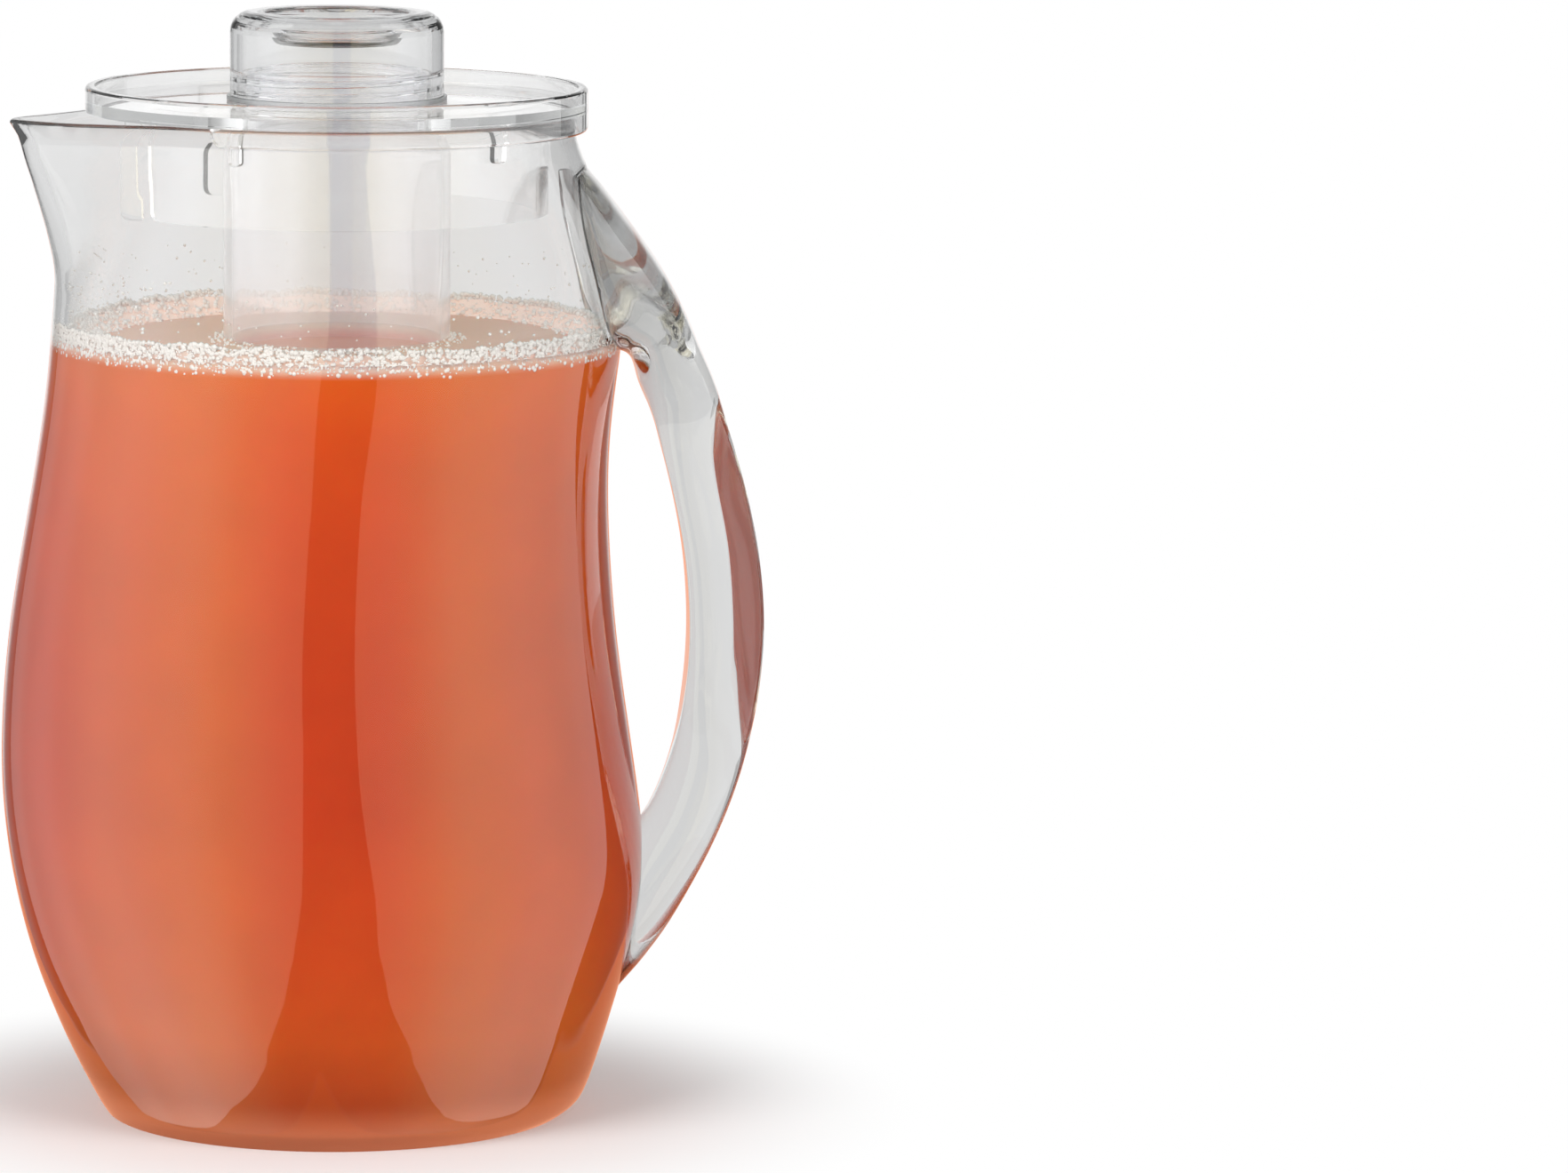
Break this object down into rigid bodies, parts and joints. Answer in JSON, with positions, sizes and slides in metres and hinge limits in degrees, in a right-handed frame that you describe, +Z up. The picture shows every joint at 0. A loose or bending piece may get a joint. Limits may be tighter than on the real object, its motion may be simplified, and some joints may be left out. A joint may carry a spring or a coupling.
{
  "type": "pitcher with ice core",
  "caption": "Clear bulging pitcher with a solid loop handle, a flanged strainer lid and a lift-out ice tube held by a hollow screw knob.",
  "frame": {"origin": "centre of the base on the table, under the axis of the rim, lid and core", "axes": "+Z up along the axis of the lid and core, -X towards the pouring lip, +X towards the handle"},
  "size_m": [0.1916, 0.1602, 0.277],
  "materials": {
    "clear_acrylic": "polished clear acrylic with a faint grey-green edge",
    "clear_moulding": "injection-moulded clear plastic, glossy",
    "core_acrylic": "clear tube with a whitish, slightly misted look",
    "seal_silicone": "translucent silicone, satin"
  },
  "bodies": {
    "vessel": {"jug_body": "clear_acrylic", "handle": "clear_acrylic"},
    "core": {"ice_tube": "core_acrylic"},
    "lid": {"lid": "clear_moulding"},
    "washer": {"knob_seal": "seal_silicone"},
    "knob": {"knob": "clear_moulding"}
  },
  "joints": [
    {"name": "core_lift", "type": "slide", "parent": "vessel", "child": "core", "axis": [0, 0, 1], "range_m": [0, 0.27]},
    {"name": "lid_turn", "type": "hinge", "parent": "core", "child": "lid", "pos_m": [0, 0, 0.2536], "axis": [0, 0, 1], "range_deg": [-20, 37]},
    {"name": "knob_turn", "type": "hinge", "parent": "core", "child": "washer", "pos_m": [0, 0, 0.2556], "axis": [0, 0, 1], "range_deg": [0, 720]},
    {"name": "knob_rise", "type": "slide", "parent": "washer", "child": "knob", "axis": [0, 0, 1], "range_m": [0, 0.0064]}
  ],
  "couplings": [
    {"joint": "knob_rise", "follows": "knob_turn", "m_per_rad": 0.00050929}
  ]
}
